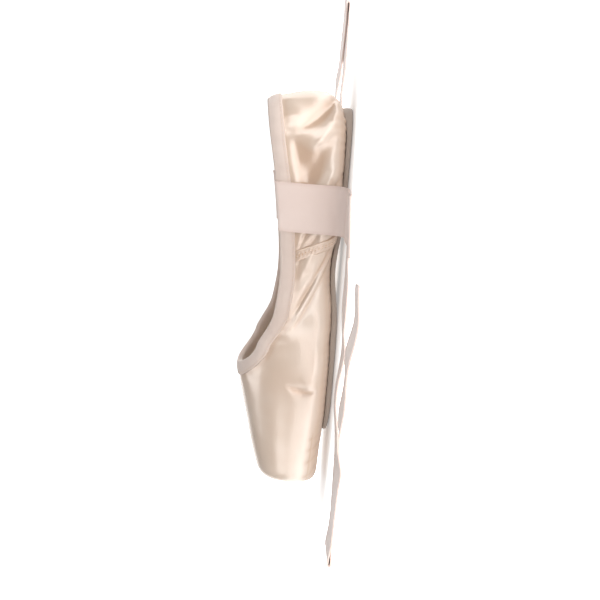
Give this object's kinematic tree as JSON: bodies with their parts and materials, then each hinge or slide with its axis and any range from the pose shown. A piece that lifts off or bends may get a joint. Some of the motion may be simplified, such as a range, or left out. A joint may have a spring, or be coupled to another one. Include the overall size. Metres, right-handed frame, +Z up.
{
  "type": "pointe shoe",
  "caption": "Satin pointe shoe with a stiff closed toe box, flat platform, bound top edge, raised side seams, thin leather outsole and a ribbon on each side, standing empty.",
  "frame": {"origin": "on the floor, under the middle of the shoe's box without its ribbons", "axes": "+X to the toe, +Y to the left side, +Z up"},
  "size_m": [0.2967, 0.4431, 0.0569],
  "materials": {
    "satin": "smooth satin with a soft broad gloss, pale peach",
    "suede": "napped suede, matt grey-brown",
    "lining": "plain matt cotton",
    "tape": "matt woven cotton tape, pale pink",
    "ribbon": "satin ribbon, half matt, pale pink"
  },
  "bodies": {
    "root": {"upper": "satin", "side_seam_left": "satin", "side_seam_right": "satin", "outsole": "suede", "insole": "lining", "binding": "tape", "ribbon_left": "ribbon", "ribbon_right": "ribbon"}
  },
  "joints": []
}
